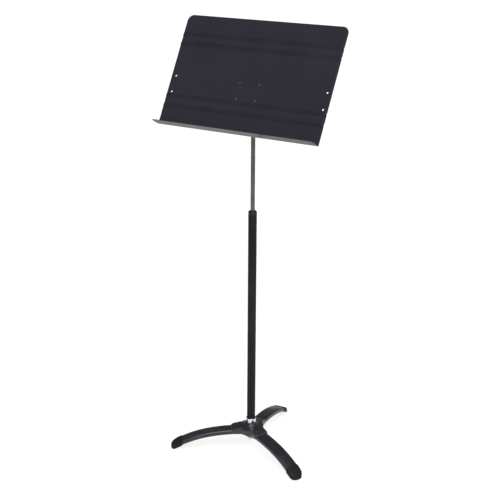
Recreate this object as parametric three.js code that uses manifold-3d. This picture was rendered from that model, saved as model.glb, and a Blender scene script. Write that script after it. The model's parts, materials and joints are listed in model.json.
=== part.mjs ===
// Orchestra music stand: a pressed steel desk with a folded shelf, on a tilting head, a sliding and turning
// plated rod held by a friction grip in a black column tube, and a three-legged base with rubber boots.
//
// Millimetres, +Z up. The desk faces -Y. The stand rests on the plane z = 0, with the origin in the middle
// of its footprint, and the column stands COLUMN_Y from it.

import * as THREE from "three";
import { mergeVertices } from "three/addons/utils/BufferGeometryUtils.js";
import Module from "manifold-3d";

// ---------------------------------------------------------------------------------------------------------
// Driving dimensions
// ---------------------------------------------------------------------------------------------------------

const COLUMN_Y = -46.3; // the column's axis, forward of the middle of the footprint
const GAP = 0.3; // air between neighbouring pieces

// Desk: one sheet with a fold at the bottom, beads across it, and fixing holes.
const DESK_WIDTH = 508;
const DESK_HEIGHT = 329.5;
const DESK_TILT = THREE.MathUtils.degToRad(29.5); // back from the vertical, as it stands
const SHEET = 1.2;
const SHELF_DEPTH = 41;
const FOLD_RADIUS = 1.5; // inside the fold
const DESK_CORNER = 19;
const SHELF_CORNER = 12;
const BEAD_HEIGHTS = [58, 87, 242, 269.5]; // of the four beads' middles above the fold
const BEAD_HALF_WIDTH = 6.5;
const BEAD_RELIEF = 1.5;
const HOLE_ROWS = [98.5, 145.5]; // above the fold
const SIDE_HOLE_X = 239.5;
const SIDE_HOLE_RADIUS = 2.5;
const RIVET_X = 30.5;
const RIVET_RADIUS = 2;

// Tilt joint, across X through the pivot.
const PIVOT_HEIGHT = 1089; // above the floor, as it stands
const PIVOT_ABOVE_FOLD = 130.5;
const PIVOT_BEHIND_DESK = 37; // to the sheet's back face
const BARREL_RADIUS = 13;
const BARREL_HALF_LENGTH = 14;
const NECK_RADIUS = 10.5;
const NECK_DROP = 34; // from the pivot to the neck's lower end
const BRACKET_PLATE = 2.5;
const BRACKET_FLANGE = 26;
const PIVOT_BOLT_RADIUS = 4;
const PIN_DROP = 24;
const PIN_RADIUS = 2;

// Column.
const TUBE_RADIUS = 12.5;
const TUBE_BORE = 11;
const TUBE_BOTTOM = 40.3;
const TUBE_TOP = 745;
const ROD_RADIUS = 6.35;
const ROD_TOP_DROP = 7.5; // from the pivot to the rod's upper end

// Friction grip on the lower end of the rod, inside the tube.
const GRIP_STUD_RADIUS = 4;
const GRIP_STUD_BOTTOM = 368;
const GRIP_SHOULDER = 430; // the rod's full diameter starts here
const GRIP_CONE_BOTTOM = 410;
const GRIP_CONE_RADII = [7, 9.2]; // lower and upper
const GRIP_SLEEVE = { bottom: 404, top: 452, radius: 10.8, slit: 2 };
const SPRING = { bottom: 381, top: 403.5, coilRadius: 6.2, wireRadius: 0.7, turns: 5 };

// Base.
const LEG_ANGLES = { rear: 95.5, front_left: 215.5, front_right: 335.5 }; // degrees from +X
const LEG_HALF_WIDTH = 20;
const LEG_DEPTH = 13.5;
const LEG_WALL = 3;
const LEG_SHOULDER = 6;
const LEG_START = 23;
const LEG_END = 228;
const ARCH_TOP = 60.8; // height of a leg's back at the column
const ARCH_DROP = 37; // how far it falls by ARCH_REACH, as the cube of the distance
const ARCH_REACH = 222;
const BOOT = { start: 212, end: 246, halfWidth: 21.4, cover: 1.4, depth: 14.9, shoulder: 6.6, corner: 20 };
const HUB = {
  crown: [[38, 64], [36, 66.2], [26, 69.2], [20, 71.8], [17, 75], [15.5, 76]], // [radius, height], from the rim up
  boreRadius: 12.8,
  bossRadius: 19.5,
  bossBottom: 34,
  socketFloor: 40,
  rimBottom: 48,
  armHalfWidth: 22.2,
  armEnd: 61,
  armEndTop: 62.4,
  armSlope: 0.2,
  cavityRadius: 35,
};
const SCREW_POSITIONS = [28, 42]; // along each leg
const SCREW_RADIUS = 2.5;
const COLLAR = { radius: 15, bottom: 76.3, top: 93.5, chamfer: 1 };
const BASE_BOLT_RADIUS = 5;

// ---------------------------------------------------------------------------------------------------------
// Materials
// ---------------------------------------------------------------------------------------------------------

const finish = (color, roughness, metalness) =>
  new THREE.MeshStandardMaterial({ color, roughness, metalness });

const BLACK_POWDER_COAT = finish(0x2e2d33, 0.5, 0.1);
const BLACK_GLOSS_PAINT = finish(0x1d1d20, 0.3, 0.1);
const NICKEL_PLATE = finish(0x6b6966, 0.25, 1);
const CHROME_PLATE = finish(0xd8d8da, 0.08, 1);
const ZINC_PLATE = finish(0xaeb0b2, 0.35, 1);
const BLACK_ABS = finish(0x18181a, 0.35, 0);
const BLACK_RUBBER = finish(0x232427, 0.7, 0);
const NATURAL_NYLON = finish(0xdcd8cb, 0.5, 0);
const RED_FIBRE = finish(0x5a3328, 0.8, 0);
const SPRING_STEEL = finish(0x6c6e72, 0.3, 1);

// ---------------------------------------------------------------------------------------------------------
// Joining and cutting
// ---------------------------------------------------------------------------------------------------------

const wasm = await Module();
wasm.setup();

// A closed three.js geometry as a manifold-3d solid.
function toSolid(geometry) {
  const bare = geometry.index ? geometry.toNonIndexed() : geometry.clone();
  for (const name of Object.keys(bare.attributes)) {
    if (name !== "position") bare.deleteAttribute(name);
  }
  const merged = mergeVertices(bare, 1e-4);
  return new wasm.Manifold(
    new wasm.Mesh({
      numProp: 3,
      vertProperties: new Float32Array(merged.attributes.position.array),
      triVerts: new Uint32Array(merged.index.array),
    }),
  );
}

function toGeometry(solid) {
  const mesh = solid.getMesh();
  return new THREE.BufferGeometry()
    .setAttribute("position", new THREE.BufferAttribute(mesh.vertProperties, 3))
    .setIndex(new THREE.BufferAttribute(mesh.triVerts, 1));
}

function cut(geometry, ...tools) {
  return toGeometry(tools.reduce((left, tool) => left.subtract(toSolid(tool)), toSolid(geometry)));
}

function join(geometry, ...others) {
  return toGeometry(others.reduce((sum, other) => sum.add(toSolid(other)), toSolid(geometry)));
}

function keepCommon(geometry, other) {
  return toGeometry(toSolid(geometry).intersect(toSolid(other)));
}

function mirrorAcrossX(geometry) {
  return toGeometry(toSolid(geometry).mirror([1, 0, 0]));
}

// ---------------------------------------------------------------------------------------------------------
// Plain shapes
// ---------------------------------------------------------------------------------------------------------

// A solid of revolution about Z. The profile is a list of [radius, height], anticlockwise, and closes on itself
// or starts and ends on the axis.
function turned(profile, segments = 32) {
  const points = profile.map(([radius, height]) => new THREE.Vector2(radius, height));
  const onAxis = profile[0][0] === 0 && profile.at(-1)[0] === 0;
  if (!onAxis) points.push(points[0].clone());
  return new THREE.LatheGeometry(points, segments).rotateX(Math.PI / 2);
}

function rod(radius, bottom, top, segments = 32) {
  return turned([[0, bottom], [radius, bottom], [radius, top], [0, top]], segments);
}

function ring(inner, outer, bottom, top, segments = 32) {
  return turned([[inner, bottom], [outer, bottom], [outer, top], [inner, top]], segments);
}

// Turns what was made along +Z to lie along +X, or along +Y.
const alongX = (geometry) => geometry.rotateY(Math.PI / 2);
const alongY = (geometry) => geometry.rotateX(-Math.PI / 2);

function hexagon(acrossFlats) {
  const shape = new THREE.Shape();
  const cornerRadius = acrossFlats / Math.sqrt(3);
  for (let i = 0; i < 6; i++) {
    const angle = (i * Math.PI) / 3;
    const point = [cornerRadius * Math.cos(angle), cornerRadius * Math.sin(angle)];
    if (i === 0) shape.moveTo(...point);
    else shape.lineTo(...point);
  }
  return shape;
}

// A flat shape given thickness: along Z from bottom to top.
function plate(shape, bottom, top, options = {}) {
  return new THREE.ExtrudeGeometry(shape, {
    depth: top - bottom,
    bevelEnabled: false,
    curveSegments: 8,
    ...options,
  }).translate(0, 0, bottom);
}

// The same, for a shape drawn in the YZ plane that is given thickness along X.
function plateAcrossX(shape, from, to, options = {}) {
  const basis = new THREE.Matrix4().makeBasis(
    new THREE.Vector3(0, 1, 0),
    new THREE.Vector3(0, 0, 1),
    new THREE.Vector3(1, 0, 0),
  );
  return plate(shape, from, to, options).applyMatrix4(basis);
}

function block(x, y, z) {
  return new THREE.BoxGeometry(x[1] - x[0], y[1] - y[0], z[1] - z[0]).translate(
    (x[0] + x[1]) / 2,
    (y[0] + y[1]) / 2,
    (z[0] + z[1]) / 2,
  );
}

function polygon(points) {
  return new THREE.Shape(points.map(([x, y]) => new THREE.Vector2(x, y)));
}

function named(name, geometry, material) {
  const mesh = new THREE.Mesh(geometry, material);
  mesh.name = name;
  return mesh;
}

// ---------------------------------------------------------------------------------------------------------
// Desk, drawn upright about the pivot: its front is towards -Y
// ---------------------------------------------------------------------------------------------------------

const DESK_BACK = -PIVOT_BEHIND_DESK;
const FOLD = -PIVOT_ABOVE_FOLD;
const DESK_TOP = FOLD + DESK_HEIGHT;

// How far a bead stands forward of the sheet at a height above the fold.
function beadRelief(height) {
  const nearest = BEAD_HEIGHTS.find((middle) => Math.abs(height - middle) < BEAD_HALF_WIDTH);
  if (nearest === undefined) return 0;
  return (BEAD_RELIEF / 2) * (1 + Math.cos((Math.PI * (height - nearest)) / BEAD_HALF_WIDTH));
}

// One face of the sheet from the fold upwards, as points in the YZ plane.
function faceWithBeads(y) {
  const stepsPerBead = 10;
  const points = [];
  for (const middle of BEAD_HEIGHTS) {
    for (let i = 0; i <= stepsPerBead; i++) {
      const height = middle + BEAD_HALF_WIDTH * ((2 * i) / stepsPerBead - 1);
      points.push([y - beadRelief(height), FOLD + height]);
    }
  }
  return points;
}

function sheetProfile() {
  const outer = FOLD_RADIUS + SHEET;
  const front = DESK_BACK - SHEET;
  const shelfFront = DESK_BACK - SHELF_DEPTH;
  const shape = new THREE.Shape();
  shape.moveTo(shelfFront, FOLD);
  shape.lineTo(DESK_BACK - outer, FOLD);
  shape.absarc(DESK_BACK - outer, FOLD + outer, outer, -Math.PI / 2, 0, false);
  for (const point of faceWithBeads(DESK_BACK)) shape.lineTo(...point);
  shape.lineTo(DESK_BACK, DESK_TOP);
  shape.lineTo(front, DESK_TOP);
  for (const point of faceWithBeads(front).reverse()) shape.lineTo(...point);
  shape.absarc(front - FOLD_RADIUS, FOLD + outer, FOLD_RADIUS, 0, -Math.PI / 2, true);
  shape.lineTo(shelfFront, FOLD + SHEET);
  return shape;
}

// What is outside a rounded corner at (x, y), for the side that the sign of x says.
function cornerWaste(x, y, radius, ySide) {
  const side = Math.sign(x);
  const margin = 2;
  const shape = new THREE.Shape();
  const centre = [x - side * radius, y - ySide * radius];
  shape.moveTo(centre[0], y);
  const steps = 8;
  for (let i = 1; i <= steps; i++) {
    const angle = (i / steps) * (Math.PI / 2);
    shape.lineTo(centre[0] + side * radius * Math.sin(angle), centre[1] + ySide * radius * Math.cos(angle));
  }
  shape.lineTo(x + side * margin, centre[1]);
  shape.lineTo(x + side * margin, y + ySide * margin);
  shape.lineTo(centre[0], y + ySide * margin);
  return shape;
}

function deskSheet() {
  const half = DESK_WIDTH / 2;
  const sheet = plateAcrossX(sheetProfile(), -half, half);
  const waste = [];
  for (const side of [-1, 1]) {
    // Drawn in the XZ plane, through the panel.
    waste.push(plate(cornerWaste(side * half, -DESK_TOP, DESK_CORNER, -1), -60, 60).rotateX(-Math.PI / 2)
      .translate(0, DESK_BACK, 0));
    // Drawn in the XY plane, through the shelf.
    waste.push(plate(cornerWaste(side * half, DESK_BACK - SHELF_DEPTH, SHELF_CORNER, -1), FOLD - 2, FOLD + 5));
    for (const row of HOLE_ROWS) {
      waste.push(alongY(rod(SIDE_HOLE_RADIUS, -5, 5, 20))
        .translate(side * SIDE_HOLE_X, DESK_BACK, FOLD + row));
      waste.push(alongY(rod(RIVET_RADIUS + GAP / 2, -5, 5, 20))
        .translate(side * RIVET_X, DESK_BACK, FOLD + row));
    }
  }
  return cut(sheet, ...waste);
}

// An angle bracket: a flange riveted to the back of the desk and an ear that runs back to the pivot.
function bracket(side) {
  const earInner = BARREL_HALF_LENGTH + 1.9;
  const flangeFront = DESK_BACK + GAP;
  const bend = 3;
  const top = FOLD + HOLE_ROWS[1] + 12;
  const bottom = FOLD + HOLE_ROWS[0] - 12;
  const angle = new THREE.Shape();
  angle.moveTo(earInner + bend, flangeFront);
  angle.lineTo(earInner + BRACKET_FLANGE, flangeFront);
  angle.lineTo(earInner + BRACKET_FLANGE, flangeFront + BRACKET_PLATE);
  angle.lineTo(earInner + BRACKET_PLATE, flangeFront + BRACKET_PLATE);
  angle.lineTo(earInner + BRACKET_PLATE, BARREL_RADIUS);
  angle.lineTo(earInner, BARREL_RADIUS);
  angle.lineTo(earInner, flangeFront + bend);
  angle.absarc(earInner + bend, flangeFront + bend, bend, Math.PI, 1.5 * Math.PI, false);
  const folded = plate(angle, bottom, top);

  const earRoot = flangeFront + 8;
  const outline = new THREE.Shape();
  outline.moveTo(flangeFront - 1, bottom);
  outline.lineTo(earRoot, bottom);
  outline.lineTo(-6, -BARREL_RADIUS + 1.5);
  outline.absarc(0, 0, BARREL_RADIUS, THREE.MathUtils.degToRad(-118), THREE.MathUtils.degToRad(112), false);
  outline.lineTo(earRoot, top);
  outline.lineTo(flangeFront - 1, top);
  const silhouette = plateAcrossX(outline, earInner - 1, earInner + BRACKET_FLANGE + 1);

  const holes = HOLE_ROWS.map((row) =>
    alongY(rod(RIVET_RADIUS + GAP / 2, -5, 5, 20)).translate(RIVET_X, flangeFront, FOLD + row),
  );
  holes.push(alongX(rod(PIVOT_BOLT_RADIUS + GAP, 0, 40, 24)));
  const right = cut(keepCommon(folded, silhouette), ...holes);
  return side > 0 ? right : mirrorAcrossX(right);
}

// A blind rivet: its dome is on the front of the desk and its swelled end behind the bracket.
function rivet() {
  const head = 4.6;
  const behind = SHEET + GAP + BRACKET_PLATE;
  return alongY(
    turned(
      [
        [0, -1.75],
        [1.3, -1.7],
        [2.8, -1.4],
        [3.9, -0.95],
        [head, -0.15],
        [RIVET_RADIUS, -0.15],
        [RIVET_RADIUS, behind + 0.2],
        [2.9, behind + 0.4],
        [2.9, behind + 3],
        [1.4, behind + 4.2],
        [0, behind + 4.2],
      ],
      20,
    ),
  );
}

const TILT_STACK = {
  friction: [BARREL_HALF_LENGTH + 0.2, BARREL_HALF_LENGTH + 1.7],
  flat: [BARREL_HALF_LENGTH + 4.6, BARREL_HALF_LENGTH + 6.2],
  disc: [BARREL_HALF_LENGTH + 6.4, BARREL_HALF_LENGTH + 8],
  nut: [BARREL_HALF_LENGTH + 8.2, BARREL_HALF_LENGTH + 16],
  head: [-(BARREL_HALF_LENGTH + 11.7), -(BARREL_HALF_LENGTH + 6.4)],
  boltEnd: BARREL_HALF_LENGTH + 18,
};
const WRENCH_M8 = 13;

function tiltBolt() {
  const { head, boltEnd } = TILT_STACK;
  return alongX(
    join(plate(hexagon(WRENCH_M8), ...head), rod(PIVOT_BOLT_RADIUS, head[1] - 1, boltEnd, 24)),
  );
}

function tiltNut() {
  const bore = rod(PIVOT_BOLT_RADIUS + 0.1, 0, 60, 24);
  const collar = ring(PIVOT_BOLT_RADIUS + 0.1, 5.8, TILT_STACK.nut[1] - 2.5, TILT_STACK.nut[1], 24);
  const hex = plate(hexagon(WRENCH_M8), TILT_STACK.nut[0], TILT_STACK.nut[1] - 2);
  return alongX(join(cut(hex, bore), collar));
}

function pivotWasher(radius, [from, to], side) {
  const washer = ring(PIVOT_BOLT_RADIUS + GAP, radius, from, to, 28);
  return side > 0 ? alongX(washer) : alongX(washer.rotateX(Math.PI));
}

function discWasher() {
  const [from, to] = TILT_STACK.disc;
  const bore = PIVOT_BOLT_RADIUS + GAP;
  return alongX(turned([[bore, from + 0.7], [8, from], [8, from + 0.9], [bore, to]], 28));
}

function deskGroup() {
  const group = new THREE.Group();
  group.add(named("desk_sheet", deskSheet(), BLACK_POWDER_COAT));
  for (const [name, side] of [["left", -1], ["right", 1]]) {
    group.add(named(`tilt_bracket_${name}`, bracket(side), BLACK_POWDER_COAT));
    group.add(named(`friction_washer_${name}`, pivotWasher(12, TILT_STACK.friction, side), RED_FIBRE));
    group.add(named(`flat_washer_${name}`, pivotWasher(8.5, TILT_STACK.flat, side), ZINC_PLATE));
    HOLE_ROWS.forEach((row, i) => {
      const fitted = named(`rivet_${i ? "upper" : "lower"}_${name}`, rivet(), BLACK_POWDER_COAT);
      fitted.position.set(side * RIVET_X, DESK_BACK - SHEET, FOLD + row);
      group.add(fitted);
    });
  }
  group.add(named("tilt_bolt", tiltBolt(), ZINC_PLATE));
  group.add(named("disc_spring", discWasher(), SPRING_STEEL));
  group.add(named("tilt_lock_nut", tiltNut(), ZINC_PLATE));
  group.position.z = PIVOT_HEIGHT;
  group.rotation.x = -DESK_TILT;
  return group;
}

// ---------------------------------------------------------------------------------------------------------
// Mast: the rod, the head on its upper end, and the grip on its lower end
// ---------------------------------------------------------------------------------------------------------

function tiltHead() {
  const barrel = alongX(rod(BARREL_RADIUS, -BARREL_HALF_LENGTH, BARREL_HALF_LENGTH, 36));
  const neck = rod(NECK_RADIUS, -NECK_DROP, 0, 32);
  const socket = rod(ROD_RADIUS + 0.15, -NECK_DROP - 1, -ROD_TOP_DROP + GAP, 32);
  const boltBore = alongX(rod(PIVOT_BOLT_RADIUS + GAP, -20, 20, 24));
  const pinBore = alongX(rod(PIN_RADIUS, -20, 20, 16)).translate(0, 0, -PIN_DROP);
  return cut(join(barrel, neck), socket, boltBore, pinBore).translate(0, 0, PIVOT_HEIGHT);
}

function liftRod() {
  const top = PIVOT_HEIGHT - ROD_TOP_DROP;
  const chamfer = 1;
  const body = turned([
    [0, GRIP_STUD_BOTTOM],
    [GRIP_STUD_RADIUS, GRIP_STUD_BOTTOM],
    [GRIP_STUD_RADIUS, GRIP_SHOULDER],
    [ROD_RADIUS, GRIP_SHOULDER],
    [ROD_RADIUS, top - chamfer],
    [ROD_RADIUS - chamfer, top],
    [0, top],
  ]);
  const pinBore = alongX(rod(PIN_RADIUS, -20, 20, 16)).translate(0, 0, PIVOT_HEIGHT - PIN_DROP);
  return cut(body, pinBore);
}

function headPin() {
  const half = NECK_RADIUS - 0.5;
  return alongX(rod(PIN_RADIUS - 0.1, -half, half, 16)).translate(0, 0, PIVOT_HEIGHT - PIN_DROP);
}

function gripCone() {
  const bore = GRIP_STUD_RADIUS + 0.1;
  const [lower, upper] = GRIP_CONE_RADII;
  const top = GRIP_SHOULDER - 0.1;
  return turned([[bore, GRIP_CONE_BOTTOM], [lower, GRIP_CONE_BOTTOM], [upper, top], [bore, top]]);
}

// A nylon sleeve, slit down one side, whose tapered bore rides on the cone.
function gripSleeve() {
  const { bottom, top, radius, slit } = GRIP_SLEEVE;
  const [lower, upper] = GRIP_CONE_RADII;
  const sleeve = turned([
    [lower + GAP, bottom],
    [radius - 0.6, bottom],
    [radius, bottom + 1],
    [radius, top - 1],
    [radius - 0.6, top],
    [upper + GAP, top],
    [upper + GAP, GRIP_SHOULDER],
    [lower + GAP, GRIP_CONE_BOTTOM],
  ]);
  return cut(sleeve, block([0, 20], [-slit / 2, slit / 2], [bottom - 1, top + 1]));
}

class Helix extends THREE.Curve {
  getPoint(t, target = new THREE.Vector3()) {
    const { bottom, top, coilRadius, wireRadius, turns } = SPRING;
    const angle = 2 * Math.PI * turns * t;
    const height = bottom + wireRadius + t * (top - bottom - 2 * wireRadius);
    return target.set(coilRadius * Math.cos(angle), coilRadius * Math.sin(angle), height);
  }
}

function gripSpring() {
  const wire = new THREE.Shape();
  wire.absarc(0, 0, SPRING.wireRadius, 0, 2 * Math.PI);
  return new THREE.ExtrudeGeometry(wire, {
    steps: SPRING.turns * 12,
    curveSegments: 3,
    bevelEnabled: false,
    extrudePath: new Helix(),
  });
}

function gripNut() {
  const bore = rod(GRIP_STUD_RADIUS + 0.1, 360, 390, 24);
  return cut(plate(hexagon(WRENCH_M8), 371, 378.3), bore);
}

function mastGroup() {
  const group = new THREE.Group();
  group.add(named("tilt_head", tiltHead(), BLACK_GLOSS_PAINT));
  group.add(named("head_pin", headPin(), ZINC_PLATE));
  group.add(named("lift_rod", liftRod(), NICKEL_PLATE));
  group.add(named("grip_cone", gripCone(), ZINC_PLATE));
  group.add(named("grip_sleeve", gripSleeve(), NATURAL_NYLON));
  group.add(named("grip_spring", gripSpring(), SPRING_STEEL));
  group.add(named("grip_washer", ring(GRIP_STUD_RADIUS + 0.2, 8.5, 378.6, 380.4), ZINC_PLATE));
  group.add(named("grip_nut", gripNut(), ZINC_PLATE));
  return group;
}

// ---------------------------------------------------------------------------------------------------------
// Column tube
// ---------------------------------------------------------------------------------------------------------

function tubeCap() {
  const bore = ROD_RADIUS + 0.25;
  const spigot = TUBE_BORE - 0.1;
  return turned([
    [bore, TUBE_TOP - 8],
    [spigot, TUBE_TOP - 8],
    [spigot, TUBE_TOP + 0.1],
    [TUBE_RADIUS + 0.1, TUBE_TOP + 0.1],
    [TUBE_RADIUS + 0.1, TUBE_TOP + 3],
    [TUBE_RADIUS - 0.9, TUBE_TOP + 6],
    [TUBE_RADIUS - 2.6, TUBE_TOP + 8.4],
    [TUBE_RADIUS - 4.8, TUBE_TOP + 9.8],
    [bore, TUBE_TOP + 10],
  ]);
}

function columnGroup() {
  const group = new THREE.Group();
  group.add(named("column_tube", ring(TUBE_BORE, TUBE_RADIUS, TUBE_BOTTOM, TUBE_TOP, 40), BLACK_GLOSS_PAINT));
  group.add(named("tube_cap", tubeCap(), BLACK_ABS));
  group.add(named("guide_bush", ring(ROD_RADIUS + 0.15, TUBE_BORE - 0.1, 700, TUBE_TOP - 8.3), NATURAL_NYLON));
  group.add(named("tube_plug", ring(BASE_BOLT_RADIUS + 0.15, TUBE_BORE - 0.15, TUBE_BOTTOM, 64), ZINC_PLATE));
  return group;
}

// ---------------------------------------------------------------------------------------------------------
// Base
// ---------------------------------------------------------------------------------------------------------

// Height of a leg's back at a distance from the column.
const archHeight = (distance) => ARCH_TOP - ARCH_DROP * (distance / ARCH_REACH) ** 3;

// A section drawn in the YZ plane, run out along +X, and laid on the arch.
function alongArch(section, from, to, steps) {
  const geometry = plateAcrossX(section, from, to, { steps, curveSegments: 4 });
  const position = geometry.attributes.position;
  for (let i = 0; i < position.count; i++) {
    position.setZ(i, position.getZ(i) + archHeight(position.getX(i)));
  }
  return geometry;
}

// An upright section with round shoulders, from its top down to a depth.
function shoulderedSection(halfWidth, top, depth, shoulder) {
  const shape = new THREE.Shape();
  shape.moveTo(halfWidth, -depth);
  shape.lineTo(halfWidth, top - shoulder);
  shape.absarc(halfWidth - shoulder, top - shoulder, shoulder, 0, Math.PI / 2, false);
  shape.lineTo(-halfWidth + shoulder, top);
  shape.absarc(-halfWidth + shoulder, top - shoulder, shoulder, Math.PI / 2, Math.PI, false);
  shape.lineTo(-halfWidth, -depth);
  return shape;
}

// The leg's channel section, or the same grown by a clearance on every face.
function channelSection(clearance = 0) {
  const shape = shoulderedSection(
    LEG_HALF_WIDTH + clearance,
    clearance,
    LEG_DEPTH + clearance,
    LEG_SHOULDER + clearance,
  );
  const inside = LEG_HALF_WIDTH - LEG_WALL - clearance;
  const under = -LEG_WALL - clearance;
  const inner = LEG_SHOULDER - LEG_WALL - clearance;
  shape.lineTo(-inside, -LEG_DEPTH - clearance);
  shape.lineTo(-inside, under - inner);
  shape.absarc(-inside + inner, under - inner, inner, Math.PI, Math.PI / 2, true);
  shape.lineTo(inside - inner, under);
  shape.absarc(inside - inner, under - inner, inner, Math.PI / 2, 0, true);
  shape.lineTo(inside, -LEG_DEPTH - clearance);
  return shape;
}

function leg() {
  const holes = SCREW_POSITIONS.map((x) => rod(SCREW_RADIUS + GAP, 50, 70, 16).translate(x, 0, 0));
  return cut(alongArch(channelSection(), LEG_START, LEG_END, 16), ...holes);
}

function boot() {
  const { start, end, halfWidth, cover, depth, shoulder, corner } = BOOT;
  const outside = alongArch(shoulderedSection(halfWidth, cover, depth, shoulder), start, end, 6);
  const pocket = alongArch(channelSection(GAP), start - 1, LEG_END + GAP, 4);
  const floor = block([0, 300], [-50, 50], [-50, 0]);
  const ends = [-1, 1].map((side) => plate(cornerWaste(side * halfWidth, end, corner, 1), -10, 60)
    .rotateZ(-Math.PI / 2));
  return cut(outside, pocket, floor, ...ends);
}

function hubArm() {
  const { armHalfWidth, armEnd, armEndTop, armSlope, rimBottom } = HUB;
  const section = shoulderedSection(armHalfWidth, 0, armEndTop - rimBottom, LEG_SHOULDER);
  const arm = plateAcrossX(section, HUB.boreRadius, armEnd, { curveSegments: 4 });
  const position = arm.attributes.position;
  for (let i = 0; i < position.count; i++) {
    const rise = armSlope * (armEnd - position.getX(i));
    const isTop = position.getZ(i) > -LEG_SHOULDER - 0.01;
    position.setZ(i, position.getZ(i) + armEndTop + (isTop ? rise : 0));
  }
  return arm;
}

function hub() {
  const { boreRadius, bossRadius, bossBottom, socketFloor, rimBottom } = HUB;
  const rimRadius = HUB.crown[0][0];
  const top = HUB.crown.at(-1)[1];
  const crown = turned([[0, rimBottom], [rimRadius, rimBottom], ...HUB.crown, [0, top]], 48);
  const cavity = ring(bossRadius, HUB.cavityRadius, rimBottom - 1, ARCH_TOP + GAP, 48);
  const boss = rod(bossRadius, bossBottom, rimBottom + 5, 48);
  const socket = rod(boreRadius, socketFloor, top + 1, 40);
  const boltHole = rod(BASE_BOLT_RADIUS + GAP, bossBottom - 1, socketFloor + 1, 24);
  const arms = [];
  const rooms = [];
  for (const angle of Object.values(LEG_ANGLES)) {
    const turn = THREE.MathUtils.degToRad(angle);
    arms.push(hubArm().rotateZ(turn));
    const room = shoulderedSection(LEG_HALF_WIDTH + GAP, GAP, 30, LEG_SHOULDER + GAP);
    rooms.push(alongArch(room, bossRadius, HUB.armEnd + 10, 4).rotateZ(turn));
    for (const x of SCREW_POSITIONS) {
      rooms.push(rod(SCREW_RADIUS + 0.15, 55, 65.6, 16).translate(x, 0, 0).rotateZ(turn));
    }
  }
  return cut(join(cut(join(crown, ...arms), cavity, ...rooms), boss), socket, boltHole);
}

// A pan-head screw, driven up through the leg into the hub.
function legScrew(x) {
  const seat = archHeight(x) - LEG_WALL - 0.2;
  return turned(
    [
      [0, seat - 2.8],
      [2.8, seat - 2.8],
      [4.3, seat - 1.8],
      [4.5, seat],
      [SCREW_RADIUS, seat],
      [SCREW_RADIUS, 65.3],
      [0, 65.3],
    ],
    16,
  ).translate(x, 0, 0);
}

function baseBolt() {
  const shank = rod(BASE_BOLT_RADIUS, 29, 60, 24);
  return join(plate(hexagon(17), 23, 29.3), shank);
}

function collar() {
  const { radius, bottom, top, chamfer } = COLLAR;
  const bore = TUBE_RADIUS + 0.15;
  return turned(
    [
      [bore, bottom],
      [radius - chamfer / 2, bottom],
      [radius, bottom + chamfer / 2],
      [radius, top - chamfer],
      [radius - chamfer, top],
      [bore, top],
    ],
    40,
  );
}

function baseGroup() {
  const group = new THREE.Group();
  group.add(named("base_hub", hub(), BLACK_POWDER_COAT));
  for (const [name, angle] of Object.entries(LEG_ANGLES)) {
    const arm = new THREE.Group();
    arm.rotation.z = THREE.MathUtils.degToRad(angle);
    arm.add(named(`leg_${name}`, leg(), BLACK_POWDER_COAT));
    arm.add(named(`rubber_boot_${name}`, boot(), BLACK_RUBBER));
    SCREW_POSITIONS.forEach((x, i) => {
      arm.add(named(`leg_screw_${name}_${i ? "outer" : "inner"}`, legScrew(x), ZINC_PLATE));
    });
    group.add(arm);
  }
  group.add(named("base_collar", collar(), CHROME_PLATE));
  group.add(named("base_bolt", baseBolt(), ZINC_PLATE));
  group.add(named("base_lock_washer", ring(BASE_BOLT_RADIUS + GAP, 8.5, 29.5, 31.7), ZINC_PLATE));
  group.add(named("base_washer", ring(BASE_BOLT_RADIUS + GAP, 15, 31.9, 33.8), ZINC_PLATE));
  return group;
}

// ---------------------------------------------------------------------------------------------------------
// The whole stand
// ---------------------------------------------------------------------------------------------------------

const stand = new THREE.Group();
stand.add(baseGroup(), columnGroup(), mastGroup(), deskGroup());
stand.position.y = COLUMN_Y;

export default stand;
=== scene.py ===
"""Orchestra music stand: a pressed steel desk on a tilting, turning and sliding rod, over three legs.

Sizes in the classes are millimetres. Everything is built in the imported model's own frame, in metres: +Z up,
with the desk facing -Y. The column's axis, the tilt joint and the desk's lean are read from that model.
"""

import json
import logging
import math
from dataclasses import dataclass, field
from enum import Enum
from typing import Any, Sequence

import bmesh
import bpy
from mathutils import Matrix, Vector


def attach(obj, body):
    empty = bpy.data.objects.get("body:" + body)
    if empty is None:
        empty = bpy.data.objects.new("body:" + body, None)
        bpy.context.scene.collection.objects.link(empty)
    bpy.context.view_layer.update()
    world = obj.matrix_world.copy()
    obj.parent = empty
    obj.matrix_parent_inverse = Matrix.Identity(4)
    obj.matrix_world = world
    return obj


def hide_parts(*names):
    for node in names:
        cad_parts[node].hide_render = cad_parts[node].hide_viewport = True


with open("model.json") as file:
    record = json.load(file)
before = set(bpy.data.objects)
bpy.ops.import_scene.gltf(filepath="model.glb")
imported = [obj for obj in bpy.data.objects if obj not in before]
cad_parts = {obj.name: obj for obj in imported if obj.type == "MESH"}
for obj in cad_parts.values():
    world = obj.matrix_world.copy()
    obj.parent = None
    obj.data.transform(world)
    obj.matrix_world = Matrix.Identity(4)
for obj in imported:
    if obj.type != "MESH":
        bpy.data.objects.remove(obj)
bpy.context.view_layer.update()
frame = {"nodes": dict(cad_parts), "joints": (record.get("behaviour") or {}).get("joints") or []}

LOG = logging.getLogger("music_stand")
MILLIMETRE = 0.001
Point2 = tuple[float, float]
Point3 = tuple[float, float, float]
Socket = bpy.types.NodeSocket

# Sizes that more than one sub-assembly shares, in millimetres.
ROD_RADIUS = 6.35
ROD_TOP_DROP = 7.5
SHARP = 0.01  # how far a cutting tool's edges are broken: not enough to show


# ----------------------------------------------------------------------------------------------------------
# Where things are
# ----------------------------------------------------------------------------------------------------------


def joint(name: str) -> dict[str, Any]:
    """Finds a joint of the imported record.

    Args:
        name: the joint's name.

    Returns:
        Its entry in the record.
    """
    return next(entry for entry in frame["joints"] if entry["name"] == name)


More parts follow.
